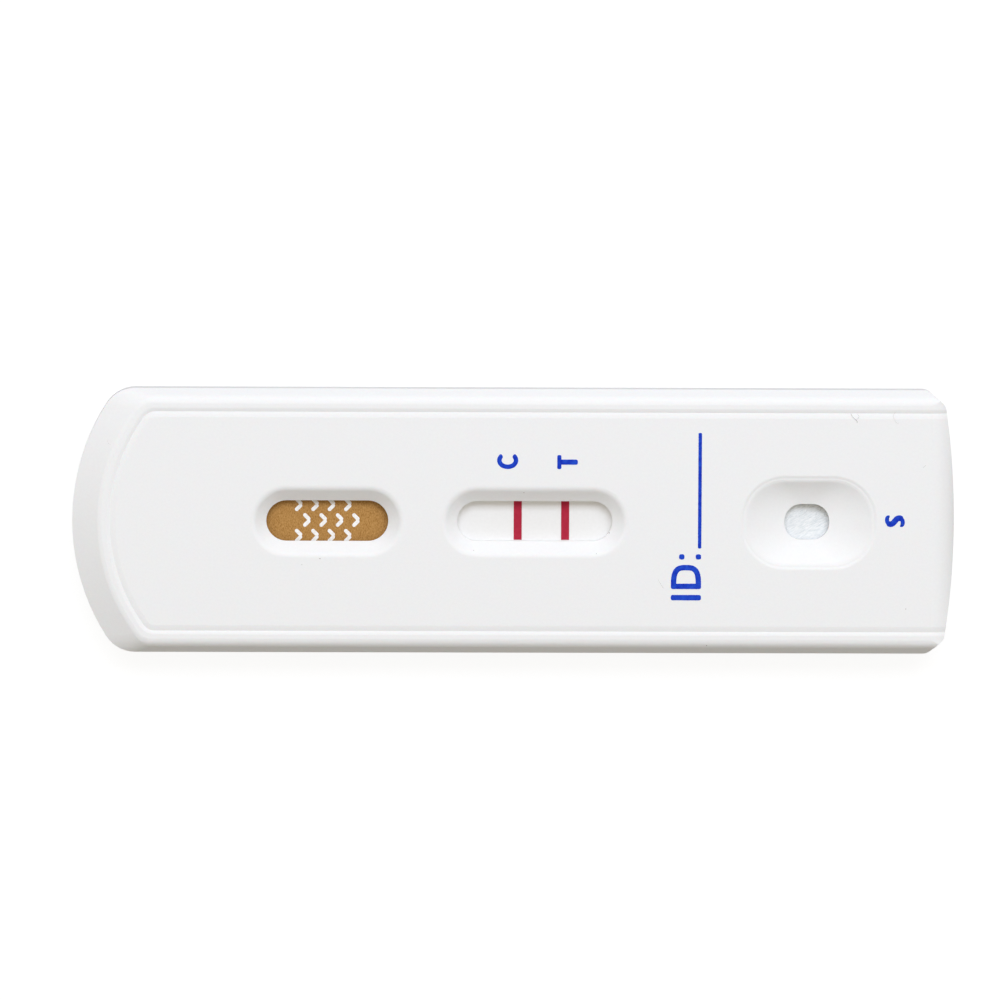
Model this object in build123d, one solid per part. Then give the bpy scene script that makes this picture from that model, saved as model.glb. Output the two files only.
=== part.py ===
from build123d import *

import math
import os

# Lateral flow test cassette: two moulded case halves round a layered test strip.
# Millimetres. The origin is under the middle of the case, X runs to the sample end, Z is up.

# Case
LENGTH = 70.0
WIDTH = 21.0
LOWER_HEIGHT = 2.4
UPPER_HEIGHT = 2.6
FLOOR = 1.1
WALL = 1.2
LEFT_WALL = 1.8
BOTTOM_R = 0.8
PARTING_STEP = 0.08

# Plan outline: a round closed end, a nearly straight sample end with cut corners
LEFT_END_R = 17.1
LEFT_CORNER_R = 2.7
RIGHT_END_R = 58.0
CHAMFER_X = 1.36
CHAMFER_Y = 1.2
CHAMFER_ROUND_R = 0.8

# Rim that leans in to the top face, and the roll of the top face down to the sample end
RIM_DROP = 1.1
RIM_SIDE_INSET = 0.75
RIM_LEFT_INSET = 2.15
RIM_CREST_R = 0.8
ROLL_R = 2.2
ROLL_RUN = 1.8
ROLL_TURN = 70.0
RUN_OUT = 2.0

# Groove inside the rim
GROOVE_SIDE_INSET = 1.79
GROOVE_LEFT_INSET = 3.0
GROOVE_CORNER_R = 1.1
GROOVE_DEPTH = 0.08
GROOVE_OUTER_RUN = 0.3
GROOVE_INNER_RUN = 0.44
GROOVE_CROWN = 0.01

# Windows
LABEL_TO_RESULT = 16.46
LABEL_WINDOW_LENGTH = 9.68
LABEL_WINDOW_WIDTH = 3.23
RESULT_OFFSET = 1.69
RESULT_WINDOW_LENGTH = 12.35
RESULT_WINDOW_WIDTH = 3.2
WINDOW_BEVEL_RUN = 1.0
WINDOW_BEVEL_DROP = 0.9
WINDOW_LIP_R = 0.65
RESULT_COLLAR = 0.9
RESULT_GAP = 0.08

# Sample well: a shallow step and leaning ledge, then a bowed funnel down to the hole
WELL_TO_END = 11.57
WELL_LENGTH = 10.75
WELL_WIDTH = 7.45
WELL_CORNER_R = 3.45
WELL_STEP_RUN = 0.2
WELL_STEP_DROP = 0.065
WELL_STEP_R = 0.3
WELL_LEDGE_RUN = 0.22
WELL_LEDGE_DROP = 0.025
WELL_LIP_R = 0.5
FUNNEL_DROP = 0.96
FUNNEL_BOW = 0.6
HOLE_OFFSET = -0.11
HOLE_LENGTH = 3.57
HOLE_WIDTH = 2.84
HOLE_CORNER_R = 1.34
WELL_COLLAR = 1.2
WELL_GAP = 0.05

# Test strip, from the depth of its membrane below the top face
STRIP_LEFT_SPACE = 5.0
STRIP_RIGHT_SPACE = 5.0
STRIP_WIDTH = 4.0
MEMBRANE_DEPTH = 1.75
CARD_T = 0.3
MEMBRANE_T = 0.2
CONJUGATE_T = 0.3
SAMPLE_T = 0.45
ABSORBENT_T = 0.35
LABEL_T = 0.1
MEMBRANE_LEFT_SPARE = 4.52
MEMBRANE_RIGHT_SPARE = 3.18
CONJUGATE_TO_HOLE = 2.2
ABSORBENT_OVERLAP = 2.0
CONJUGATE_OVERLAP = 1.8
SAMPLE_OVERLAP = 1.5
PAD_RAMP = 0.6
CONTROL_LINE_OFFSET = -1.33
TEST_LINE_OFFSET = 2.44
LINE_WIDTH = 0.64
LINE_T = 0.02
HEADROOM = 0.1

# Strip tray in the lower half
STRIP_SIDE_GAP = 0.15
STRIP_END_GAP = 0.2
RAIL_T = 0.8
RAIL_RISE = 0.15
RIB_T = 0.8
RIB_PITCH = 5.0

# Press bars under the roof
BAR_T = 0.8
BAR_LENGTH = 3.2

# Tongue and rebate at the joint line
TONGUE_T = 0.5
TONGUE_H = 0.5
JOINT_GAP = 0.06

# Pegs and sockets
PEG_LEFT_SPACE = 11.0
PEG_RIGHT_SPACE = 7.0
PEG_SIDE_SPACE = 3.9
PEG_D = 1.6
PEG_LENGTH = 0.9
PEG_LEAD = 0.2
PEG_GAP = 0.05
PEG_BOSS_D = 3.0
SOCKET_BOSS_D = 3.4
SOCKET_SPARE = 0.2

# Places along the case: the well from the sample end, the windows from the middle
RIGHT_END = LENGTH / 2
LEFT_END = -LENGTH / 2
ROLL_X = RIGHT_END - ROLL_RUN
WELL_X = RIGHT_END - WELL_TO_END
HOLE_X = WELL_X + HOLE_OFFSET
RESULT_X = RESULT_OFFSET
LABEL_X = RESULT_X - LABEL_TO_RESULT
STRIP_LEFT = LEFT_END + STRIP_LEFT_SPACE
STRIP_RIGHT = RIGHT_END - STRIP_RIGHT_SPACE
MEMBRANE_LEFT = RESULT_X - RESULT_WINDOW_LENGTH / 2 - MEMBRANE_LEFT_SPARE
MEMBRANE_RIGHT = RESULT_X + RESULT_WINDOW_LENGTH / 2 + MEMBRANE_RIGHT_SPARE
CONJUGATE_RIGHT = HOLE_X - HOLE_LENGTH / 2 - CONJUGATE_TO_HOLE
PEG_LEFT = LEFT_END + PEG_LEFT_SPACE
PEG_RIGHT = RIGHT_END - PEG_RIGHT_SPACE
PEG_Y = WIDTH / 2 - PEG_SIDE_SPACE

# Levels worked out from the sizes above
HEIGHT = LOWER_HEIGHT + UPPER_HEIGHT
SHOULDER_Z = HEIGHT - RIM_DROP
LIP_Z = HEIGHT - WELL_STEP_DROP - WELL_LEDGE_DROP
MEMBRANE_TOP = HEIGHT - MEMBRANE_DEPTH
CARD_TOP = MEMBRANE_TOP - MEMBRANE_T
BED_Z = CARD_TOP - CARD_T
SAMPLE_TOP = CARD_TOP + SAMPLE_T
LABEL_STEP_TOP = MEMBRANE_TOP + ABSORBENT_T + LABEL_T
SAMPLE_STEP_TOP = SAMPLE_TOP + CONJUGATE_T
ROOF_Z = max(LABEL_STEP_TOP, SAMPLE_STEP_TOP) + HEADROOM
TOUCH = 1e-4


def level(z):
    """Horizontal drawing plane at a height."""
    return Plane.XY.offset(z)


def cut_corner(side, right):
    """The two ends of the cut corner of the sample end, on the side and on the end arc."""
    end_centre = Vector(RIGHT_END - RIGHT_END_R, 0)
    end_y = WIDTH / 2 - CHAMFER_Y
    end_x = end_centre.X + math.sqrt(RIGHT_END_R**2 - end_y**2)
    along = Vector(CHAMFER_X, -CHAMFER_Y).normalized()
    normal = Vector(-along.Y, along.X)
    distance = normal.dot(Vector(end_x, end_y)) - right
    half_width = WIDTH / 2 - side
    on_side = Vector((distance - normal.Y * half_width) / normal.X, half_width)
    from_centre = distance - normal.dot(end_centre)
    chord = math.sqrt((RIGHT_END_R - right) ** 2 - from_centre**2)
    return on_side, end_centre + normal * from_centre + along * chord


def left_corner(side, left):
    """X where the round closed end meets a side, both drawn in."""
    half_width = WIDTH / 2 - side
    return LEFT_END + LEFT_END_R - math.sqrt((LEFT_END_R - left) ** 2 - half_width**2)


def outline(side=0.0, left=0.0, right=0.0):
    """Plan outline of the case, drawn in from its sides and ends."""
    half_width = WIDTH / 2 - side
    left_x = left_corner(side, left)
    on_side, on_end = cut_corner(side, right)
    upper = Polyline((left_x, half_width), on_side, on_end)
    lower = mirror(upper, Plane.XZ)
    right_end = ThreePointArc(on_end, (RIGHT_END - right, 0), (on_end.X, -on_end.Y))
    left_end = ThreePointArc((left_x, -half_width), (LEFT_END + left, 0), (left_x, half_width))
    plan = make_face([upper, right_end, lower, left_end])
    plan = fillet([v for v in plan.vertices() if v.X > 0], CHAMFER_ROUND_R)
    return fillet([v for v in plan.vertices() if v.X < left_x / 2], LEFT_CORNER_R - side)


def inner_outline(inset=0.0):
    """Plan of the hollow, grown or drawn in from the inside of the walls."""
    return outline(WALL + inset, LEFT_WALL + inset, WALL + inset)


def long_plan(side, left, corner_r, right_x):
    """Plan of the closed end and sides alone, drawn in, with a square end at a given X."""
    half_width = WIDTH / 2 - side
    left_x = left_corner(side, left)
    left_end = ThreePointArc((left_x, -half_width), (LEFT_END + left, 0), (left_x, half_width))
    corners = [(left_x, half_width), (right_x, half_width), (right_x, -half_width), (left_x, -half_width)]
    plan = make_face([left_end, Polyline(*corners)])
    return fillet([v for v in plan.vertices() if v.X < left_x + TOUCH], corner_r)


def slab(plan, low, high):
    """Plan extruded between two heights."""
    return extrude(level(low) * plan, high - low)


def edges_at(body, z, limits=None):
    """Edges that lie in a horizontal plane, if asked only those inside a plan box."""
    found = []
    for edge in body.edges():
        middle = edge.position_at(0.5)
        flat = all(abs(p.Z - z) < TOUCH for p in (edge.position_at(0), middle, edge.position_at(1)))
        inside = limits is None or (limits[0] < middle.X < limits[1] and abs(middle.Y) < limits[2])
        if flat and inside:
            found.append(edge)
    return found


def end_roll():
    """Cutter that rolls the top face down to the sample end."""
    corner = Rectangle(ROLL_R, ROLL_R, align=(Align.MIN, Align.MIN)) - Circle(ROLL_R)
    return extrude(Plane.XZ * Pos(ROLL_X, HEIGHT - ROLL_R) * corner, WIDTH / 2, both=True)


def case_blank():
    """Solid upper half with its leaning rim, rounded crest and rolled sample end."""
    past_end = RIGHT_END + RUN_OUT
    foot = long_plan(0, 0, LEFT_CORNER_R, past_end)
    crest = long_plan(RIM_SIDE_INSET, RIM_LEFT_INSET, LEFT_CORNER_R - RIM_SIDE_INSET, past_end)
    cap = loft([level(SHOULDER_Z) * foot, level(HEIGHT) * crest], ruled=True)
    rim_edges = [e for e in edges_at(cap, HEIGHT) if e.position_at(0.5).X < past_end - TOUCH]
    cap = fillet(rim_edges, RIM_CREST_R)
    blank = slab(foot, LOWER_HEIGHT, SHOULDER_Z) + cap
    return (blank & slab(outline(), LOWER_HEIGHT, HEIGHT)) - end_roll()


def groove_path():
    """Line of the groove: up the rolled sample end, round the closed end and down the roll again."""
    plan = long_plan(GROOVE_SIDE_INSET, GROOVE_LEFT_INSET, GROOVE_CORNER_R, ROLL_X)
    round_top = [level(HEIGHT) * e for e in plan.edges() if e.position_at(0.5).X < ROLL_X - TOUCH]
    y = WIDTH / 2 - GROOVE_SIDE_INSET
    side_plane = Plane((ROLL_X, y, HEIGHT - ROLL_R), x_dir=(1, 0, 0), z_dir=(0, -1, 0))
    roll = side_plane * CenterArc((0, 0), ROLL_R, 90 - ROLL_TURN, ROLL_TURN)
    return Wire(roll.edges() + round_top + mirror(roll, Plane.XZ).edges())


def groove_cut():
    """Shallow vee with crowned walls, swept along the inside of the rim."""
    path = groove_path()
    middle_y = GROOVE_DEPTH / 2 - GROOVE_CROWN
    floor = (0, GROOVE_DEPTH)
    inner = (-GROOVE_INNER_RUN, 0)
    outer = (GROOVE_OUTER_RUN, 0)
    inner_wall = ThreePointArc(inner, (-GROOVE_INNER_RUN / 2, middle_y), floor)
    outer_wall = ThreePointArc(floor, (GROOVE_OUTER_RUN / 2, middle_y), outer)
    above = Polyline(outer, (outer[0], -GROOVE_DEPTH), (inner[0], -GROOVE_DEPTH), inner)
    section = make_face([inner_wall, outer_wall, above])
    start = Plane(path.position_at(0), x_dir=(0, 1, 0), z_dir=path.tangent_at(0))
    return sweep(start * section, path)


def window_cut(x, length, width):
    """Round-ended opening with a bevel all round its mouth."""
    mouth = SlotOverall(length + 2 * WINDOW_BEVEL_RUN, width + 2 * WINDOW_BEVEL_RUN)
    lean = math.degrees(math.atan2(WINDOW_BEVEL_RUN, WINDOW_BEVEL_DROP))
    bevel = extrude(level(HEIGHT) * Pos(x, 0) * mouth, -WINDOW_BEVEL_DROP, taper=lean)
    opening = Pos(x, 0) * SlotOverall(length, width)
    return bevel + slab(opening, LOWER_HEIGHT, HEIGHT - WINDOW_BEVEL_DROP)


def well_plan(inset):
    """Plan of the sample well, drawn in from its mouth."""
    size = (WELL_LENGTH - 2 * inset, WELL_WIDTH - 2 * inset)
    return Pos(WELL_X, 0) * RectangleRounded(*size, WELL_CORNER_R - inset)


def hole_plan(grow=0.0):
    """Plan of the hole at the bottom of the sample well."""
    size = (HOLE_LENGTH + 2 * grow, HOLE_WIDTH + 2 * grow)
    return Pos(HOLE_X, 0) * RectangleRounded(*size, HOLE_CORNER_R + grow)


def funnel_waist():
    """Plan halfway between the mouth of the funnel and the hole."""
    inset = WELL_STEP_RUN + WELL_LEDGE_RUN
    length = (WELL_LENGTH - 2 * inset + HOLE_LENGTH) / 2
    width = (WELL_WIDTH - 2 * inset + HOLE_WIDTH) / 2
    corner_r = (WELL_CORNER_R - inset + HOLE_CORNER_R) / 2
    return Pos((WELL_X + HOLE_X) / 2, 0) * RectangleRounded(length, width, corner_r)


def well_cut():
    """Shallow step, leaning ledge, bowed funnel and hole of the sample well."""
    ledge_z = HEIGHT - WELL_STEP_DROP
    waist_z = LIP_Z - FUNNEL_DROP * FUNNEL_BOW
    hole_z = LIP_Z - FUNNEL_DROP
    ledge_plan = level(ledge_z) * well_plan(WELL_STEP_RUN)
    lip_plan = level(LIP_Z) * well_plan(WELL_STEP_RUN + WELL_LEDGE_RUN)
    step = loft([level(HEIGHT) * well_plan(0), ledge_plan], ruled=True)
    ledge = loft([ledge_plan, lip_plan], ruled=True)
    funnel = loft([lip_plan, level(waist_z) * funnel_waist(), level(hole_z) * hole_plan()])
    return step + ledge + funnel + slab(hole_plan(), LOWER_HEIGHT, hole_z)


def well_limits(inset):
    """Plan box that holds the edges of the well drawn in by an inset, and none outside it."""
    half_length = WELL_LENGTH / 2 - inset + TOUCH
    return WELL_X - half_length, WELL_X + half_length, WELL_WIDTH / 2 - inset + TOUCH


def window_limits(x, length, width):
    """Plan box that holds the mouth of a window."""
    half_length = length / 2 + WINDOW_BEVEL_RUN + TOUCH
    return x - half_length, x + half_length, width / 2 + WINDOW_BEVEL_RUN + TOUCH


def result_collar():
    """Wall round the result window that reaches down to the membrane."""
    size = (RESULT_WINDOW_LENGTH + 2 * RESULT_COLLAR, RESULT_WINDOW_WIDTH + 2 * RESULT_COLLAR)
    return slab(Pos(RESULT_X, 0) * SlotOverall(*size), MEMBRANE_TOP + RESULT_GAP, ROOF_Z)


def well_collar():
    """Wall round the sample hole that reaches down to the sample pad."""
    return slab(hole_plan(WELL_COLLAR), SAMPLE_TOP + WELL_GAP, ROOF_Z)


def press_bars():
    """Bars under the roof that hold each pad down on the layer it overlaps."""
    over_membrane = (MEMBRANE_RIGHT - CONJUGATE_OVERLAP / 2, MEMBRANE_TOP + CONJUGATE_T)
    over_conjugate = (CONJUGATE_RIGHT - SAMPLE_OVERLAP / 2, SAMPLE_STEP_TOP)
    bar = Rectangle(BAR_T, BAR_LENGTH)
    return [slab(Pos(x, 0) * bar, z, ROOF_Z) for x, z in (over_membrane, over_conjugate)]


def at_pegs(solid):
    """One copy of a solid at each peg."""
    rows = (PEG_LEFT, (PEG_LEFT + PEG_RIGHT) / 2, PEG_RIGHT)
    return [Pos(x, y, 0) * solid for x in rows for y in (-PEG_Y, PEG_Y)]


def peg():
    """Boss under the roof with a six-sided lead-in peg below the joint line."""
    boss = slab(Circle(PEG_BOSS_D / 2), LOWER_HEIGHT, ROOF_Z)
    tip_z = LOWER_HEIGHT - PEG_LENGTH
    shank = slab(RegularPolygon(PEG_D / 2, 6), tip_z, LOWER_HEIGHT)
    return boss + chamfer(edges_at(shank, tip_z), PEG_LEAD)


def socket():
    """Boss on the floor with a blind bore for a peg."""
    boss = slab(Circle(SOCKET_BOSS_D / 2), FLOOR, LOWER_HEIGHT)
    bore_z = LOWER_HEIGHT - PEG_LENGTH - SOCKET_SPARE
    return boss - slab(Circle(PEG_D / 2 + PEG_GAP), bore_z, LOWER_HEIGHT)


def upper_shell():
    """Top half of the case."""
    body = case_blank() - groove_cut()
    body = body - slab(inner_outline(), LOWER_HEIGHT, ROOF_Z)
    rebate = inner_outline(-TONGUE_T - JOINT_GAP)
    body = body - slab(rebate, LOWER_HEIGHT, LOWER_HEIGHT + TONGUE_H + JOINT_GAP)
    body = body + [result_collar(), well_collar()] + press_bars() + at_pegs(peg())
    label_window = (LABEL_X, LABEL_WINDOW_LENGTH, LABEL_WINDOW_WIDTH)
    result_window = (RESULT_X, RESULT_WINDOW_LENGTH, RESULT_WINDOW_WIDTH)
    body = body - window_cut(*label_window) - window_cut(*result_window) - well_cut()
    for window in (label_window, result_window):
        body = fillet(edges_at(body, HEIGHT, window_limits(*window)), WINDOW_LIP_R)
    body = fillet(edges_at(body, HEIGHT, well_limits(0)), WELL_STEP_R)
    return fillet(edges_at(body, LIP_Z, well_limits(WELL_STEP_RUN + WELL_LEDGE_RUN)), WELL_LIP_R)


def strip_tray():
    """Rails and end stops round the strip, and the ribs that it lies on."""
    middle = Pos((STRIP_LEFT + STRIP_RIGHT) / 2, 0)
    strip_length = STRIP_RIGHT - STRIP_LEFT
    bay = (strip_length + 2 * STRIP_END_GAP, STRIP_WIDTH + 2 * STRIP_SIDE_GAP)
    frame = Rectangle(bay[0] + 2 * RAIL_T, bay[1] + 2 * RAIL_T) - Rectangle(*bay)
    tray = slab(middle * frame, FLOOR, CARD_TOP + RAIL_RISE)
    count = int((strip_length - RIB_T) / RIB_PITCH) + 1
    rib = slab(Rectangle(RIB_T, bay[1]), FLOOR, BED_Z)
    return [tray] + [middle * place * rib for place in GridLocations(RIB_PITCH, 0, count, 1)]


def lower_shell():
    """Bottom half of the case."""
    step = PARTING_STEP
    body = slab(outline(step, step, step), 0, LOWER_HEIGHT)
    body = fillet(edges_at(body, 0), BOTTOM_R)
    body = body - slab(inner_outline(), FLOOR, LOWER_HEIGHT)
    tongue = inner_outline(-TONGUE_T) - inner_outline()
    tongue = slab(tongue, LOWER_HEIGHT, LOWER_HEIGHT + TONGUE_H)
    return body + tongue + at_pegs(socket()) + strip_tray()


def layer(path, thickness):
    """Sheet of the strip whose underside follows a path of (x, z) points."""
    over = [(x, z + thickness) for x, z in reversed(path)]
    side = make_face(Polyline(*path, *over, close=True))
    return extrude(Plane.XZ * side, STRIP_WIDTH / 2, both=True)


def stepped_path(low_end, step, high_end, low_z, high_z):
    """Path along a lower layer that ramps up on to the edge of the next layer at a step."""
    ramp = math.copysign(PAD_RAMP, high_end - low_end)
    return [(low_end, low_z), (step - ramp, low_z), (step, high_z), (high_end, high_z)]


def reagent_line(x):
    """Dried reagent line across the membrane."""
    half = LINE_WIDTH / 2
    return layer([(x - half, MEMBRANE_TOP), (x + half, MEMBRANE_TOP)], LINE_T)


def strip_layers():
    """All layers of the test strip, by name."""
    wick_end = MEMBRANE_LEFT + ABSORBENT_OVERLAP
    wick_path = stepped_path(STRIP_LEFT, MEMBRANE_LEFT, wick_end, CARD_TOP, MEMBRANE_TOP)
    conjugate_end = MEMBRANE_RIGHT - CONJUGATE_OVERLAP
    conjugate_path = stepped_path(CONJUGATE_RIGHT, MEMBRANE_RIGHT, conjugate_end, CARD_TOP, MEMBRANE_TOP)
    sample_end = CONJUGATE_RIGHT - SAMPLE_OVERLAP
    sample_path = stepped_path(STRIP_RIGHT, CONJUGATE_RIGHT, sample_end, CARD_TOP, CARD_TOP + CONJUGATE_T)
    label_path = [(x, z + ABSORBENT_T) for x, z in wick_path]
    return {
        "backing_card": layer([(STRIP_LEFT, BED_Z), (STRIP_RIGHT, BED_Z)], CARD_T),
        "membrane": layer([(MEMBRANE_LEFT, CARD_TOP), (MEMBRANE_RIGHT, CARD_TOP)], MEMBRANE_T),
        "absorbent_pad": layer(wick_path, ABSORBENT_T),
        "strip_label": layer(label_path, LABEL_T),
        "conjugate_pad": layer(conjugate_path, CONJUGATE_T),
        "sample_pad": layer(sample_path, SAMPLE_T),
        "control_line": reagent_line(RESULT_X + CONTROL_LINE_OFFSET),
        "test_line": reagent_line(RESULT_X + TEST_LINE_OFFSET),
    }


nodes = {"upper_shell": upper_shell(), "lower_shell": lower_shell(), **strip_layers()}
os.makedirs("parts", exist_ok=True)
for name, solid in nodes.items():
    export_step(solid, f"parts/{name}.step")
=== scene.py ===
import math
import random

import bmesh
import bpy
from mathutils import Matrix, Vector, noise


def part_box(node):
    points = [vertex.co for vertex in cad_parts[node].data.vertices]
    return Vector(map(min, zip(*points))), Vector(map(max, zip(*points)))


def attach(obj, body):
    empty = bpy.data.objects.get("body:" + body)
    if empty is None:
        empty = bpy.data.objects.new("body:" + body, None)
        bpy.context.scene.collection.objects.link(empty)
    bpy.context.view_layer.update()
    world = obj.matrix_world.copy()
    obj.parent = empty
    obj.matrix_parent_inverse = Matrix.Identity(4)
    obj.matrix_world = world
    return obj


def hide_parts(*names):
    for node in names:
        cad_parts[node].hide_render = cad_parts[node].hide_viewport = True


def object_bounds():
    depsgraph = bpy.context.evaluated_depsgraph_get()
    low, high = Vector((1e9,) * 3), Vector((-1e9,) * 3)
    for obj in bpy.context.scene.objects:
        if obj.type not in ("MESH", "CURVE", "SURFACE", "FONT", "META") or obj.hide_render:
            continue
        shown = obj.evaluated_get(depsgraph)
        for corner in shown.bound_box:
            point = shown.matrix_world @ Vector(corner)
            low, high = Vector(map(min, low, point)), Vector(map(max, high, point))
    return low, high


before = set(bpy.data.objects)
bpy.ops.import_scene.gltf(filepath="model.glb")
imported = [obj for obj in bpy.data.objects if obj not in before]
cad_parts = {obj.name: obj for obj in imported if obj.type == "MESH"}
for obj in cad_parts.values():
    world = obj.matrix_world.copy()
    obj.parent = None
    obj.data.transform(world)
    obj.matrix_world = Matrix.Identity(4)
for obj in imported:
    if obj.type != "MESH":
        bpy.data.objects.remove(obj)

# Lateral flow test cassette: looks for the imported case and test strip.
# Metres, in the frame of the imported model: X runs to the sample end, Z is up.

CAD_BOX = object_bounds()
MM = 0.001

# Places read from the frame
TOP_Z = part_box("upper_shell")[1].z
CONTROL_X = (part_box("control_line")[0].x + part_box("control_line")[1].x) / 2
TEST_X = (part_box("test_line")[0].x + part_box("test_line")[1].x) / 2
LABEL_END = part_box("strip_label")[0].x

# Ink on the top face: letters read from the near side to the far side
INK_T = 0.012 * MM
INK_SINK = 0.004 * MM
INK_LIFT = 0.0008 * MM
INK_STEP = 0.025 * MM
INK_EDGE_NOISE = 0.05
INK_EDGE_SIZE = 0.12 * MM
INK_BLUNT = 0.3
INK_TIP = 0.14
CONTROL_MARK = (CONTROL_X - 0.865 * MM, 4.78 * MM)
CONTROL_STROKE = 0.36 * MM
TEST_MARK = (TEST_X + 0.14 * MM, 4.776 * MM)
TEST_BAR = 0.56 * MM
TEST_BAR_UP = 0.68 * MM
TEST_STEM_DOWN = -0.79 * MM
TEST_BAR_STROKE = 0.33 * MM
TEST_STEM_STROKE = 0.41 * MM
SAMPLE_MARK = (30.25 * MM, 0.155 * MM)
SAMPLE_STROKE = 0.33 * MM
SAMPLE_SPINE = 0.46 * MM
ID_X = 13.69 * MM
ID_STROKE = 0.43 * MM
ID_HALF_HEIGHT = 1.2 * MM
ID_BAR_Y = -5.98 * MM
ID_STEM_Y = -5.08 * MM
ID_BOWL = 1.49 * MM
ID_BOWL_HALF_HEIGHT = 0.985 * MM
ID_BOWL_SQUARENESS = 0.62
ID_BOWL_STEPS = 40
COLON_Y = -2.73 * MM
COLON_R = 0.21 * MM
COLON_UP = 0.345 * MM
COLON_DOWN = -0.975 * MM
WRITE_LINE_X = 14.756 * MM
WRITE_LINE_Y = (-2.07 * MM, 7.13 * MM)
WRITE_LINE_WIDTH = 0.275 * MM

# First half of each curved letter and its middle, as (across, up) in millimetres
CONTROL_HALF = ((0.50, 0.42), (0.42, 0.545), (0.20, 0.65), (-0.05, 0.62), (-0.29, 0.40))
CONTROL_MIDDLE = (-0.39, 0)
SAMPLE_HALF = (
    (0.29, 0.43),
    (0.31, 0.51),
    (0.25, 0.59),
    (0.08, 0.625),
    (-0.11, 0.57),
    (-0.235, 0.40),
    (-0.19, 0.18),
)
SAMPLE_MIDDLE = (0, 0)
SAMPLE_THIN_POINTS = 4

# Chevrons printed on the cover tape
CHEVRON_MIDDLE = 15.23 * MM
CHEVRON_COLUMNS = 4
CHEVRON_ROWS = 3
CHEVRON_PITCH_X = 1.30 * MM
CHEVRON_PITCH_Y = 1.25 * MM
CHEVRON_ARM = 0.50 * MM
CHEVRON_STROKE = 0.30 * MM
CHEVRON_SINK = 2 * INK_T
CHEVRON_T = INK_T / 2

# Stray hairs, as (radius, places), and specks, as (x, y, radius), on the case in millimetres
HAIRS = (
    (0.020, ((26.69, 8.70), (26.82, 8.45), (27.00, 8.27), (27.14, 8.16), (27.22, 7.98))),
    (0.009, ((27.12, 8.18), (27.30, 8.38), (27.33, 8.52), (27.22, 8.66))),
    (0.006, ((30.25, 8.84), (30.06, 8.52), (30.25, 8.05), (30.49, 7.89))),
    (0.009, ((32.43, 4.39), (32.67, 4.59))),
    (0.006, ((-32.20, 6.40), (-32.12, 6.15), (-31.95, 6.05))),
    (0.006, ((11.49, -4.53), (11.61, -4.77), (11.77, -5.05), (11.92, -5.25))),
)
SPECKS = (
    (31.17, -6.84, 0.035),
    (0.80, 2.33, 0.04),
    (-15.35, -2.95, 0.045),
    (-16.78, -3.43, 0.03),
    (-3.16, -2.29, 0.03),
    (6.58, -2.51, 0.03),
    (7.62, -0.92, 0.045),
    (15.37, -9.80, 0.05),
)
HAIR_STEPS = 6
HAIR_LIFT = 0.5
SPECK_FLATNESS = 0.5

# Strip layers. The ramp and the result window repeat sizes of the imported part
PAD_RAMP = 0.6 * MM
RESULT_MIDDLE = 1.69 * MM
RESULT_HALF_LENGTH = 6.175 * MM
RESULT_HALF_WIDTH = 1.6 * MM
RESULT_COLLAR = 0.9 * MM
MEMBRANE_SWELL = 0.07 * MM
DENT_MIDDLE = (24.4 * MM, 0.9 * MM)
DENT_R = 2.3 * MM
DENT_DEPTH = 0.36 * MM
PAD_CELL = 0.12 * MM
PAD_HEADING = math.radians(28)
WICK_HEADING = math.radians(20)
GLASS_HEADING = math.radians(5)
LAYER_SURFACES = {
    "membrane": dict(relief=0.006 * MM, relief_size=0.5 * MM, edge_r=0.03 * MM, stretch=1.0),
    "strip_label": dict(relief=0.012 * MM, relief_size=1.2 * MM, edge_r=0.02 * MM, stretch=1.0),
    "absorbent_pad": dict(relief=0.03 * MM, relief_size=0.4 * MM, edge_r=0.10 * MM, stretch=2.0),
    "conjugate_pad": dict(relief=0.02 * MM, relief_size=0.3 * MM, edge_r=0.05 * MM, stretch=1.5),
    "sample_pad": dict(relief=0.006 * MM, relief_size=0.30 * MM, edge_r=0.10 * MM, stretch=2.5),
}

# Loose fibres: lengths are in millimetres, depths and arches in radii
FIBRE_SIDES = 3
FIBRE_STEPS = 8
FIBRE_LENGTHS = (0.5, 1.8)
FIBRE_BEND = 0.6
FIBRE_DEPTH = 2.5
FIBRE_ARCH = 1.5
LAYER_FIBRES = {
    "absorbent_pad": dict(count=500, radius=0.010 * MM, heading=0.3, spread=0.9, seed=3),
    "conjugate_pad": dict(count=600, radius=0.006 * MM, heading=0.1, spread=1.2, seed=5),
    "sample_pad": dict(count=900, radius=0.005 * MM, heading=PAD_HEADING, spread=0.45, seed=7),
}

# Camera: a long lens, nearly straight down
VIEW_WIDTH = 79.25 * MM
VIEW_CENTRE = Vector((-1.10 * MM, 1.75 * MM, TOP_Z))
CAMERA_DISTANCE = 0.8
CAMERA_LEAN_FAR = math.radians(4.5)
CAMERA_LEAN_LEFT = math.radians(1.5)
CAMERA_ROLL = math.radians(0.28)
CAMERA_FAR = 10.0
SENSOR = 36.0

# Light: a cool lamp from the far side under a warmer sky, and a floor
KEY_ELEVATION = math.radians(57.0)
KEY_AZIMUTH = math.radians(6.0)
KEY_DISTANCE = 0.5
KEY_SIZE = 0.25
KEY_LENGTH = 0.5
KEY_POWER = 1.485
KEY_COLOUR = (0.91, 1.0, 1.19)
SKY_COLOUR = (1.07, 1.0, 0.865)
SKY_STRENGTH = 0.24
SKY_LEAN = (0.0, 0.24, 0.47)
FLOOR_SIZE = 4.0
FLOOR_GAP = 0.01 * MM
FLOOR_PALE = 0.5
FLOOR_SEEN = 0.2
FLOOR_LIFT = 0.87

# Band that most of a noise texture's values lie in
NOISE_LOW = 0.3
NOISE_HIGH = 0.7


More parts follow.
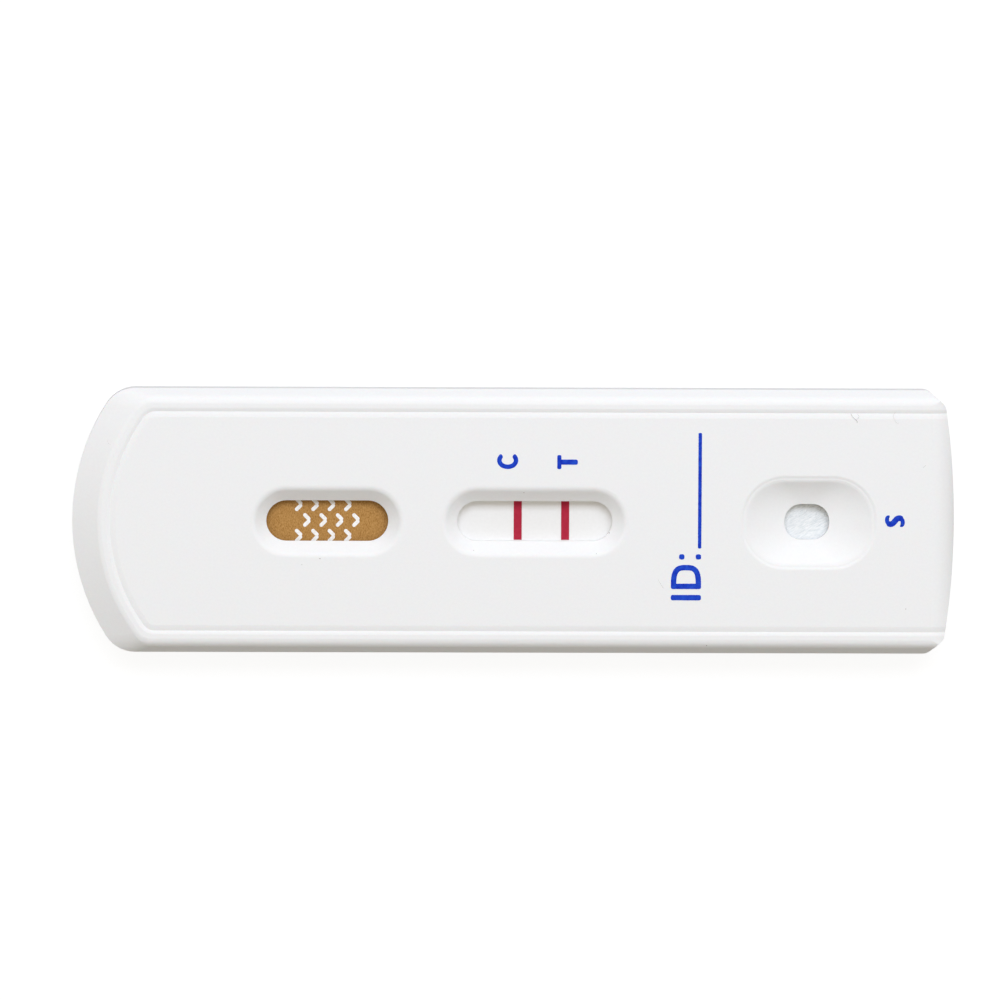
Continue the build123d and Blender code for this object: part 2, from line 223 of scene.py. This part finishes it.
def linear(value):
    """Light level of a 0 to 255 screen value, by the sRGB curve."""
    share = value / 255
    return share / 12.92 if share < 0.04045 else ((share + 0.055) / 1.055) ** 2.4


def screen(red, green, blue):
    """Blender colour that looks like the given 0 to 255 screen values."""
    return (linear(red), linear(green), linear(blue), 1.0)


class Look:
    """A procedural material: a Principled shader with short calls that add textures to it."""

    def __init__(self, name, roughness, **sockets):
        self.material = bpy.data.materials.new(name)
        self.material.use_nodes = True
        self.nodes = self.material.node_tree.nodes
        self.shader = self.nodes["Principled BSDF"]
        self.shader.inputs["Roughness"].default_value = roughness
        for socket, value in sockets.items():
            self.shader.inputs[socket.replace("_", " ")].default_value = value
        self.place = self.nodes.new("ShaderNodeTexCoord").outputs["Object"]
        self.relief = None

    def link(self, start, end):
        self.material.node_tree.links.new(start, end)

    def noise(self, size, detail=3.0, stretch=(1, 1, 1), turn=0.0):
        """Noise whose patches are about size across, drawn out by stretch and turned about Z."""
        mapping = self.nodes.new("ShaderNodeMapping")
        mapping.vector_type = "TEXTURE"
        mapping.inputs["Rotation"].default_value = (0, 0, turn)
        mapping.inputs["Scale"].default_value = stretch
        self.link(self.place, mapping.inputs["Vector"])
        texture = self.nodes.new("ShaderNodeTexNoise")
        texture.inputs["Scale"].default_value = 1 / size
        texture.inputs["Detail"].default_value = detail
        self.link(mapping.outputs["Vector"], texture.inputs["Vector"])
        return texture.outputs["Fac"]

    def colours(self, source, *stops):
        """Base colour from (position, colour) stops along a texture."""
        ramp = self.nodes.new("ShaderNodeValToRGB")
        elements = ramp.color_ramp.elements
        while len(elements) < len(stops):
            elements.new(0.5)
        for element, (position, colour) in zip(elements, stops):
            element.position = position
            element.color = colour
        self.link(source, ramp.inputs["Fac"])
        self.link(ramp.outputs["Color"], self.shader.inputs["Base Color"])

    def blend(self, size, dark, light):
        """Base colour that wanders between two colours, in patches of a size."""
        self.colours(self.noise(size), (NOISE_LOW, dark), (NOISE_HIGH, light))

    def shine(self, source, low, high):
        """Roughness that wanders between two values."""
        spread = self.nodes.new("ShaderNodeMapRange")
        spread.inputs["From Min"].default_value = NOISE_LOW
        spread.inputs["From Max"].default_value = NOISE_HIGH
        spread.inputs["To Min"].default_value = low
        spread.inputs["To Max"].default_value = high
        self.link(source, spread.inputs["Value"])
        self.link(spread.outputs["Result"], self.shader.inputs["Roughness"])

    def bumps(self, source, height, strength=1.0):
        """Relief of a height in metres, on top of any relief already there."""
        bump = self.nodes.new("ShaderNodeBump")
        bump.inputs["Strength"].default_value = strength
        bump.inputs["Distance"].default_value = height
        self.link(source, bump.inputs["Height"])
        if self.relief is not None:
            self.link(self.relief, bump.inputs["Normal"])
        self.relief = bump.outputs["Normal"]
        self.link(self.relief, self.shader.inputs["Normal"])


def case_plastic():
    """White moulded polystyrene: satin, very finely grained, a little light going in."""
    look = Look(
        "case_plastic",
        roughness=0.55,
        Subsurface_Weight=0.06,
        Subsurface_Scale=0.15 * MM,
        Specular_IOR_Level=0.2,
    )
    look.blend(0.2 * MM, screen(240, 240, 240), screen(242, 242, 242))
    look.shine(look.noise(0.5 * MM), low=0.52, high=0.62)
    look.bumps(look.noise(0.10 * MM, detail=2.0), height=0.0006 * MM)
    return look.material


def card_plastic():
    """Stiff white vinyl of the backing card."""
    look = Look("card_plastic", roughness=0.5)
    look.blend(1.5 * MM, screen(228, 228, 224), screen(238, 238, 235))
    look.bumps(look.noise(0.2 * MM), height=0.002 * MM)
    return look.material


def membrane_sheet():
    """Chalky white nitrocellulose with a very fine tooth."""
    look = Look("membrane_sheet", roughness=0.8, Specular_IOR_Level=0.1)
    look.blend(0.25 * MM, screen(234, 233, 231), screen(237, 236, 234))
    look.bumps(look.noise(0.06 * MM), height=0.001 * MM)
    return look.material


def fibre_felt(name, light, dark, turn):
    """Matted pale fibres lying mostly one way."""
    look = Look(name, roughness=0.9, Specular_IOR_Level=0.1)
    strands = look.noise(0.09 * MM, detail=4.0, stretch=(5, 1, 1), turn=turn)
    look.colours(strands, (0.30, dark), (0.65, light))
    look.bumps(strands, height=0.012 * MM, strength=0.4)
    return look.material


def kraft_paper():
    """Brown cover tape with the grain and flecks of kraft paper."""
    look = Look("kraft_paper", roughness=0.7, Specular_IOR_Level=0.15)
    grain = look.noise(0.065 * MM, detail=6.0, stretch=(1, 2.3, 1))
    look.colours(
        grain,
        (0.28, screen(140, 96, 46)),
        (0.45, screen(173, 127, 68)),
        (0.60, screen(185, 140, 80)),
        (0.75, screen(200, 157, 98)),
    )
    look.bumps(grain, height=0.004 * MM)
    return look.material


def tape_print():
    """Opaque white print on the cover tape."""
    look = Look("tape_print", roughness=0.6)
    patches = look.noise(0.15 * MM)
    look.colours(patches, (0.35, screen(236, 232, 226)), (0.6, screen(250, 249, 247)))
    return look.material


def pad_ink():
    """Blue pad-printing ink, a little thinner in places."""
    look = Look("pad_ink", roughness=0.6, Specular_IOR_Level=0.15)
    look.blend(0.35 * MM, screen(6, 42, 180), screen(30, 78, 204))
    look.shine(look.noise(0.1 * MM), low=0.55, high=0.7)
    return look.material


def reagent():
    """Crimson dried reagent, slightly uneven along the line."""
    look = Look("reagent", roughness=0.75, Specular_IOR_Level=0.1)
    look.blend(0.4 * MM, screen(168, 36, 58), screen(177, 44, 66))
    look.bumps(look.noise(0.06 * MM), height=0.001 * MM)
    return look.material


def lint():
    """Grey-brown dust and stray hairs."""
    look = Look("lint", roughness=0.7)
    patches = look.noise(0.2 * MM)
    look.colours(patches, (0.35, screen(138, 127, 124)), (0.65, screen(190, 181, 177)))
    return look.material


def new_piece(name, mesh, material):
    """Object made from a mesh, given its finish and set to ride with the case."""
    data = bpy.data.meshes.new(name)
    bmesh.ops.recalc_face_normals(mesh, faces=mesh.faces)
    mesh.to_mesh(data)
    mesh.free()
    data.materials.append(material)
    piece = bpy.data.objects.new(name, data)
    bpy.context.scene.collection.objects.link(piece)
    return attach(piece, "root")


def resample(points, step):
    """Evenly spaced points along a run of points, ends kept."""
    lengths = [0.0]
    for start, end in zip(points, points[1:]):
        lengths.append(lengths[-1] + (end - start).length)
    count = max(2, round(lengths[-1] / step))
    result = []
    segment = 0
    for i in range(count + 1):
        wanted = lengths[-1] * i / count
        while segment < len(points) - 2 and lengths[segment + 1] < wanted:
            segment += 1
        share = (wanted - lengths[segment]) / (lengths[segment + 1] - lengths[segment])
        result.append(points[segment].lerp(points[segment + 1], share))
    return result


def smooth_run(points, steps=12):
    """Catmull-Rom curve through a few points."""
    ends = [2 * points[0] - points[1]] + points + [2 * points[-1] - points[-2]]
    result = []
    for a, b, c, d in zip(ends, ends[1:], ends[2:], ends[3:]):
        for i in range(steps):
            t = i / steps
            bend = (2 * a - 5 * b + 4 * c - d) * t + (3 * b - 3 * c + d - a) * t * t
            result.append(b + ((c - a) + bend) * t / 2)
    return result + [points[-1]]


def uneven(point, side):
    """Share of its width that an inked edge reaches to, at a place and on a side."""
    return 1 + INK_EDGE_NOISE * noise.noise(point / INK_EDGE_SIZE + side)


def stroke(mesh, points, width, low, high, blunt=INK_BLUNT):
    """Ribbon along a run of points, with an uneven edge and ends from round (0) to square (1)."""
    half = width / 2
    corner = half * (1 - blunt)
    run = resample(points, INK_STEP)
    rings = []
    for i, point in enumerate(run):
        ahead = (run[min(i + 1, len(run) - 1)] - run[max(i - 1, 0)]).normalized()
        side = Vector((-ahead.y, ahead.x, 0))
        from_end = min(i, len(run) - 1 - i) * INK_STEP
        short = max(0.0, corner - from_end)
        reach = max(INK_TIP * half, half - corner + math.sqrt(corner**2 - short**2))
        left = point + side * reach * uneven(point, side)
        right = point - side * reach * uneven(point, -side)
        corners = [(left, high), (right, high), (right, low), (left, low)]
        rings.append([mesh.verts.new((place.x, place.y, z)) for place, z in corners])
    for ring, after in zip(rings, rings[1:]):
        for k in range(len(ring)):
            n = (k + 1) % len(ring)
            mesh.faces.new((ring[k], ring[n], after[n], after[k]))
    mesh.faces.new(rings[0])
    mesh.faces.new(reversed(rings[-1]))


def on_letter(centre, across, up):
    """Point of a letter: across runs to the far side, up to the closed end."""
    return Vector((centre[0] - up, centre[1] + across, 0))


def curve(centre, half, middle, way):
    """Points of a letter whose second half is its first one mirrored (1) or turned about (-1)."""
    rest = [(way * across, -up) for across, up in reversed(half)]
    places = [*half, middle, *rest]
    return [on_letter(centre, across * MM, up * MM) for across, up in places]


def letter_c(centre):
    """Open round letter that marks the control line."""
    run = curve(centre, CONTROL_HALF, CONTROL_MIDDLE, 1)
    return [(smooth_run(run), CONTROL_STROKE)]


def letter_s(centre):
    """Double curve that marks the sample well, heavier in its middle."""
    run = curve(centre, SAMPLE_HALF, SAMPLE_MIDDLE, -1)
    spine = run[SAMPLE_THIN_POINTS:-SAMPLE_THIN_POINTS]
    return [(smooth_run(run), SAMPLE_STROKE), (smooth_run(spine), SAMPLE_SPINE)]


def letter_t(centre):
    """Bar and stem of the letter that marks the test line."""
    bar = [on_letter(centre, across, TEST_BAR_UP) for across in (-TEST_BAR, TEST_BAR)]
    stem = [on_letter(centre, 0, up) for up in (TEST_BAR_UP, TEST_STEM_DOWN)]
    return [(bar, TEST_BAR_STROKE), (stem, TEST_STEM_STROKE)]


def id_letters(centre):
    """The two letters and the colon in front of the writing line."""
    tips = (-ID_HALF_HEIGHT, ID_HALF_HEIGHT)
    bar = [on_letter(centre, ID_BAR_Y, up) for up in tips]
    stem = [on_letter(centre, ID_STEM_Y, up) for up in tips]
    bowl = []
    for i in range(ID_BOWL_STEPS + 1):
        turn = math.pi * (i / ID_BOWL_STEPS - 0.5)
        across = ID_STEM_Y + ID_BOWL * abs(math.cos(turn)) ** ID_BOWL_SQUARENESS
        up = ID_BOWL_HALF_HEIGHT * math.copysign(abs(math.sin(turn)) ** ID_BOWL_SQUARENESS, turn)
        bowl.append(on_letter(centre, across, up))
    marks = [(bar, ID_STROKE), (stem, ID_STROKE), (bowl, ID_STROKE)]
    for up in (COLON_UP, COLON_DOWN):
        dot = [on_letter(centre, COLON_Y + way * COLON_R, up) for way in (-1, 1)]
        marks.append((dot, 2 * COLON_R))
    return marks


def printed_marks():
    """Strokes of ink on the top face, as (points, width)."""
    write_line = [Vector((WRITE_LINE_X, y, 0)) for y in WRITE_LINE_Y]
    round_letters = letter_c(CONTROL_MARK) + letter_s(SAMPLE_MARK)
    straight_letters = letter_t(TEST_MARK) + id_letters((ID_X, 0))
    return [*round_letters, (write_line, WRITE_LINE_WIDTH), *straight_letters]


def add_print(material):
    """All the ink on the top face as one piece."""
    mesh = bmesh.new()
    for i, (points, width) in enumerate(printed_marks()):
        stroke(mesh, points, width, TOP_Z - INK_SINK, TOP_Z + INK_T + i * INK_LIFT)
    return new_piece("printed_marks", mesh, material)


def ramp_share(x, low_x, high_x):
    """How far up a ramp a place is, from 0 at its foot to 1 at its head."""
    return min(1.0, max(0.0, (x - low_x) / (high_x - low_x)))


def dent(x, y):
    """Height change of the sample pad: a soft hollow under the well, where it has been wetted."""
    away = math.hypot(x - DENT_MIDDLE[0], y - DENT_MIDDLE[1]) / DENT_R
    return -DENT_DEPTH * math.exp(-away * away)


def swell(x, y):
    """Height change of the membrane: up to the collar round the result window."""
    past_end = max(0.0, abs(x - RESULT_MIDDLE) - RESULT_HALF_LENGTH + RESULT_HALF_WIDTH)
    outside = math.hypot(past_end, y) - RESULT_HALF_WIDTH
    return MEMBRANE_SWELL if 0 < outside < RESULT_COLLAR else 0.0


class Layer:
    """A sheet of the strip, lying as its solid does: flat, then up a ramp on to the next one."""

    def __init__(self, node, thickness, ramp, rise=None):
        self.node = node
        self.low, self.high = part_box(node)
        self.thickness = thickness
        self.ramp = ramp
        self.rise = rise

    def under(self, x):
        """Height of the underside."""
        climb = self.high.z - self.low.z - self.thickness
        return self.low.z + (climb * ramp_share(x, *self.ramp) if self.ramp else 0.0)

    def over(self, x, y):
        """Height of the top."""
        return self.under(x) + self.thickness + (self.rise(x, y) if self.rise else 0.0)

    def to_edge(self, x, y):
        """Distance in from the nearest edge."""
        return min(x - self.low.x, self.high.x - x, y - self.low.y, self.high.y - y)


def strip_layers():
    """The soft layers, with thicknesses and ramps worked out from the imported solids."""
    membrane_low, membrane_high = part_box("membrane")
    conjugate_low, conjugate_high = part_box("conjugate_pad")
    wick_low, wick_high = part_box("absorbent_pad")
    sample_low, sample_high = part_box("sample_pad")
    label_low, label_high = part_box("strip_label")
    membrane_t = membrane_high.z - membrane_low.z
    conjugate_t = conjugate_high.z - conjugate_low.z - membrane_t
    sample_t = sample_high.z - sample_low.z - conjugate_t
    wick_t = wick_high.z - wick_low.z - membrane_t
    label_t = label_high.z - label_low.z - membrane_t
    to_membrane = (membrane_low.x - PAD_RAMP, membrane_low.x)
    off_membrane = (membrane_high.x + PAD_RAMP, membrane_high.x)
    off_conjugate = (conjugate_high.x + PAD_RAMP, conjugate_high.x)
    return {
        "membrane": Layer("membrane", membrane_t, None, swell),
        "conjugate_pad": Layer("conjugate_pad", conjugate_t, off_membrane),
        "sample_pad": Layer("sample_pad", sample_t, off_conjugate, dent),
        "absorbent_pad": Layer("absorbent_pad", wick_t, to_membrane),
        "strip_label": Layer("strip_label", label_t, to_membrane),
    }


def layer_dip(layer, x, y, relief, relief_size, edge_r, stretch):
    """Depth of a place below the full height of a layer: soft edges and drawn-out noise."""
    inside = min(1.0, layer.to_edge(x, y) / edge_r)
    softening = edge_r * (1 - math.sqrt(1 - (1 - inside) ** 2))
    sample = Vector((x / stretch, y, 0)) / relief_size
    return relief * (0.5 + 0.5 * noise.noise(sample)) + min(softening, 0.5 * layer.thickness)


def close_sheet(mesh, tops, bottoms, columns, rows):
    """Faces of a closed sheet between two grids of points."""
    across = rows + 1
    for i in range(columns):
        for j in range(rows):
            a = i * across + j
            corners = (a, a + across, a + across + 1, a + 1)
            mesh.faces.new([tops[c] for c in corners])
            mesh.faces.new([bottoms[c] for c in reversed(corners)])
    rim = list(range(across))
    rim += [i * across + rows for i in range(1, columns + 1)]
    rim += [columns * across + j for j in range(rows - 1, -1, -1)]
    rim += [i * across for i in range(columns - 1, 0, -1)]
    for a, b in zip(rim, rim[1:] + rim[:1]):
        mesh.faces.new((tops[a], tops[b], bottoms[b], bottoms[a]))
    for face in mesh.faces:
        face.smooth = True


def layer_mesh(layer, **surface):
    """Closed sheet with soft edges, in the shape of a layer."""
    mesh = bmesh.new()
    columns = round((layer.high.x - layer.low.x) / PAD_CELL)
    rows = round((layer.high.y - layer.low.y) / PAD_CELL)
    tops = []
    bottoms = []
    for i in range(columns + 1):
        x = layer.low.x + (layer.high.x - layer.low.x) * i / columns
        for j in range(rows + 1):
            y = layer.low.y + (layer.high.y - layer.low.y) * j / rows
            dip = layer_dip(layer, x, y, **surface)
            tops.append(mesh.verts.new((x, y, layer.over(x, y) - dip)))
            bottoms.append(mesh.verts.new((x, y, layer.under(x))))
    close_sheet(mesh, tops, bottoms, columns, rows)
    return mesh


def tube(mesh, points, radius):
    """Thin strand along a run of points."""
    previous = None
    for i, point in enumerate(points):
        ahead = (points[min(i + 1, len(points) - 1)] - points[max(i - 1, 0)]).normalized()
        side = ahead.cross(Vector((0, 0, 1))).normalized()
        lift = side.cross(ahead)
        ring = []
        for k in range(FIBRE_SIDES):
            turn = math.tau * (k / FIBRE_SIDES + 0.25)
            out = side * math.cos(turn) + lift * math.sin(turn)
            ring.append(mesh.verts.new(point + out * radius))
        if previous:
            for k in range(FIBRE_SIDES):
                after = (k + 1) % FIBRE_SIDES
                face = mesh.faces.new((previous[k], previous[after], ring[after], ring[k]))
                face.smooth = True
        previous = ring


def add_fibres(mesh, layer, count, radius, heading, spread, seed):
    """Loose strands matted over the top of a pad."""
    dice = random.Random(seed)
    for _ in range(count):
        angle = dice.gauss(heading, spread)
        length = dice.uniform(*FIBRE_LENGTHS) * MM
        bend = dice.uniform(-FIBRE_BEND, FIBRE_BEND)
        x = dice.uniform(layer.low.x, layer.high.x)
        y = dice.uniform(layer.low.y, layer.high.y)
        depth = dice.uniform(0.0, FIBRE_DEPTH) * radius
        points = []
        for i in range(FIBRE_STEPS + 1):
            turn = angle + bend * (i / FIBRE_STEPS - 0.5)
            x += math.cos(turn) * length / FIBRE_STEPS
            y += math.sin(turn) * length / FIBRE_STEPS
            if layer.to_edge(x, y) > 2 * radius:
                arch = FIBRE_ARCH * radius * math.sin(math.pi * i / FIBRE_STEPS)
                points.append(Vector((x, y, layer.over(x, y) - depth + arch)))
        if len(points) > 2:
            tube(mesh, points, radius)


def add_layer(layer, material):
    """Detailed sheet that stands for a soft layer of the strip."""
    mesh = layer_mesh(layer, **LAYER_SURFACES[layer.node])
    if layer.node in LAYER_FIBRES:
        add_fibres(mesh, layer, **LAYER_FIBRES[layer.node])
    piece = new_piece(layer.node + "_sheet", mesh, material)
    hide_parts(layer.node)
    return piece


def add_strip(layers):
    """The soft layers of the strip, each in its own finish."""
    sample_felt = fibre_felt("sample_felt", screen(242, 243, 243), screen(222, 227, 229), PAD_HEADING)
    wick_felt = fibre_felt("wick_felt", screen(244, 243, 238), screen(222, 220, 213), WICK_HEADING)
    glass_felt = fibre_felt("glass_felt", screen(240, 238, 236), screen(214, 208, 206), GLASS_HEADING)
    add_layer(layers["membrane"], membrane_sheet())
    add_layer(layers["strip_label"], kraft_paper())
    add_layer(layers["absorbent_pad"], wick_felt)
    add_layer(layers["conjugate_pad"], glass_felt)
    add_layer(layers["sample_pad"], sample_felt)


def add_chevrons(label, material):
    """Plain arrowheads on the cover tape, staggered row by row and pointing to the sample end."""
    mesh = bmesh.new()
    middle = LABEL_END + CHEVRON_MIDDLE
    for row in range(CHEVRON_ROWS):
        y = (row - (CHEVRON_ROWS - 1) / 2) * CHEVRON_PITCH_Y
        shift = (row % 2 - 0.5) * CHEVRON_PITCH_X / 2
        for column in range(CHEVRON_COLUMNS):
            x = middle + shift + (column - (CHEVRON_COLUMNS - 1) / 2) * CHEVRON_PITCH_X
            tip = Vector((x + CHEVRON_ARM / 2, y, 0))
            for way in (-1, 1):
                tail = tip + Vector((-CHEVRON_ARM, way * CHEVRON_ARM, 0))
                low = label.over(x, y) - CHEVRON_SINK
                high = label.over(x, y) + CHEVRON_T + way * INK_LIFT
                stroke(mesh, [tail, tip], CHEVRON_STROKE, low, high, blunt=0.0)
    return new_piece("tape_chevrons", mesh, material)


def on_case(x, y):
    """Point of the case's upper surface straight below a place."""
    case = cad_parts["upper_shell"]
    to_case = case.matrix_world.inverted()
    above = to_case @ Vector((x, y, 2 * TOP_Z))
    down = to_case.to_3x3() @ Vector((0, 0, -1))
    found, point, _, _ = case.ray_cast(above, down)
    return case.matrix_world @ point if found else Vector((x, y, TOP_Z))


def add_dust(material):
    """Stray hairs and specks lying on the case."""
    mesh = bmesh.new()
    for radius, places in HAIRS:
        run = smooth_run([Vector((x * MM, y * MM, 0)) for x, y in places], steps=HAIR_STEPS)
        lift = Vector((0, 0, HAIR_LIFT * radius * MM))
        tube(mesh, [on_case(point.x, point.y) + lift for point in run], radius * MM)
    for x, y, radius in SPECKS:
        flatten = Matrix.Diagonal((1, 1, SPECK_FLATNESS, 1))
        place = Matrix.Translation(on_case(x * MM, y * MM)) @ flatten
        bmesh.ops.create_icosphere(mesh, subdivisions=2, radius=radius * MM, matrix=place)
    return new_piece("dust", mesh, material)


def dress_cad():
    """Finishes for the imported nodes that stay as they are."""
    plastic = case_plastic()
    line = reagent()
    finishes = {
        "upper_shell": plastic,
        "lower_shell": plastic,
        "backing_card": card_plastic(),
        "control_line": line,
        "test_line": line,
    }
    for node, material in finishes.items():
        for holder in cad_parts[node].material_slots:
            holder.material = material


def floor_paper():
    """Pale paper that the camera sees as white, with shadows kept."""
    material = bpy.data.materials.new("floor_paper")
    material.use_nodes = True
    nodes = material.node_tree.nodes
    links = material.node_tree.links
    nodes.clear()
    matt = nodes.new("ShaderNodeBsdfDiffuse")
    path = nodes.new("ShaderNodeLightPath")
    tone = nodes.new("ShaderNodeMix")
    tone.data_type = "RGBA"
    tone.inputs["A"].default_value = (FLOOR_PALE, FLOOR_PALE, FLOOR_PALE, 1)
    tone.inputs["B"].default_value = (FLOOR_SEEN, FLOOR_SEEN, FLOOR_SEEN, 1)
    links.new(path.outputs["Is Camera Ray"], tone.inputs["Factor"])
    links.new(tone.outputs["Result"], matt.inputs["Color"])
    glow = nodes.new("ShaderNodeEmission")
    lift = nodes.new("ShaderNodeMath")
    lift.operation = "MULTIPLY"
    lift.inputs[1].default_value = FLOOR_LIFT
    links.new(path.outputs["Is Camera Ray"], lift.inputs[0])
    links.new(lift.outputs["Value"], glow.inputs["Strength"])
    both = nodes.new("ShaderNodeAddShader")
    links.new(matt.outputs["BSDF"], both.inputs[0])
    links.new(glow.outputs["Emission"], both.inputs[1])
    output = nodes.new("ShaderNodeOutputMaterial")
    links.new(both.outputs["Shader"], output.inputs["Surface"])
    return material


def add_floor():
    """Plain floor just below the case."""
    mesh = bmesh.new()
    bmesh.ops.create_grid(mesh, x_segments=1, y_segments=1, size=FLOOR_SIZE / 2)
    data = bpy.data.meshes.new("floor")
    mesh.to_mesh(data)
    mesh.free()
    data.materials.append(floor_paper())
    floor = bpy.data.objects.new("floor", data)
    floor.location.z = CAD_BOX[0][2] - FLOOR_GAP
    bpy.context.scene.collection.objects.link(floor)


def looking_along(away):
    """Turn whose Z axis points away from what is looked at, with X along the case."""
    across = Vector((0, 1, 0)).cross(away).normalized()
    return Matrix((across, away.cross(across), away)).transposed().to_4x4()


def add_key():
    """Cool lamp from the far side."""
    lamp = bpy.data.lights.new("key", "AREA")
    lamp.shape = "RECTANGLE"
    lamp.size = KEY_LENGTH
    lamp.size_y = KEY_SIZE
    lamp.energy = KEY_POWER
    lamp.color = KEY_COLOUR
    key = bpy.data.objects.new("key", lamp)
    along_floor = Vector((math.sin(KEY_AZIMUTH), math.cos(KEY_AZIMUTH), 0))
    towards = along_floor * math.cos(KEY_ELEVATION) + Vector((0, 0, math.sin(KEY_ELEVATION)))
    key.matrix_world = Matrix.Translation(towards * KEY_DISTANCE) @ looking_along(towards)
    bpy.context.scene.collection.objects.link(key)


def add_sky():
    """Warmer sky, brighter overhead and on the far side, and white where the camera sees it."""
    world = bpy.data.worlds.new("sky")
    bpy.context.scene.world = world
    world.use_nodes = True
    nodes = world.node_tree.nodes
    links = world.node_tree.links
    nodes.clear()
    sky = nodes.new("ShaderNodeBackground")
    sky.inputs["Color"].default_value = SKY_COLOUR + (1,)
    lean = nodes.new("ShaderNodeVectorMath")
    lean.operation = "DOT_PRODUCT"
    lean.inputs[1].default_value = SKY_LEAN
    links.new(nodes.new("ShaderNodeTexCoord").outputs["Generated"], lean.inputs[0])
    strength = nodes.new("ShaderNodeMath")
    strength.inputs[1].default_value = SKY_STRENGTH
    links.new(lean.outputs["Value"], strength.inputs[0])
    links.new(strength.outputs["Value"], sky.inputs["Strength"])
    seen = nodes.new("ShaderNodeBackground")
    seen.inputs["Color"].default_value = (1, 1, 1, 1)
    path = nodes.new("ShaderNodeLightPath")
    choice = nodes.new("ShaderNodeMixShader")
    links.new(path.outputs["Is Camera Ray"], choice.inputs["Fac"])
    links.new(sky.outputs["Background"], choice.inputs[1])
    links.new(seen.outputs["Background"], choice.inputs[2])
    output = nodes.new("ShaderNodeOutputWorld")
    links.new(choice.outputs["Shader"], output.inputs["Surface"])


def add_camera():
    """Camera over the top face, leaning a little to the far side and the closed end."""
    data = bpy.data.cameras.new("camera")
    data.sensor_width = SENSOR
    data.lens = SENSOR * CAMERA_DISTANCE / VIEW_WIDTH
    data.clip_end = CAMERA_FAR
    camera = bpy.data.objects.new("camera", data)
    away = Vector((-math.tan(CAMERA_LEAN_LEFT), math.tan(CAMERA_LEAN_FAR), 1)).normalized()
    turn = looking_along(away) @ Matrix.Rotation(CAMERA_ROLL, 4, "Z")
    camera.matrix_world = Matrix.Translation(VIEW_CENTRE + away * CAMERA_DISTANCE) @ turn
    bpy.context.scene.collection.objects.link(camera)
    bpy.context.scene.camera = camera


def build():
    """The whole scene."""
    bpy.context.scene.view_settings.view_transform = "Standard"
    dress_cad()
    layers = strip_layers()
    add_strip(layers)
    add_chevrons(layers["strip_label"], tape_print())
    add_print(pad_ink())
    add_dust(lint())
    add_floor()
    add_key()
    add_sky()
    add_camera()


build()
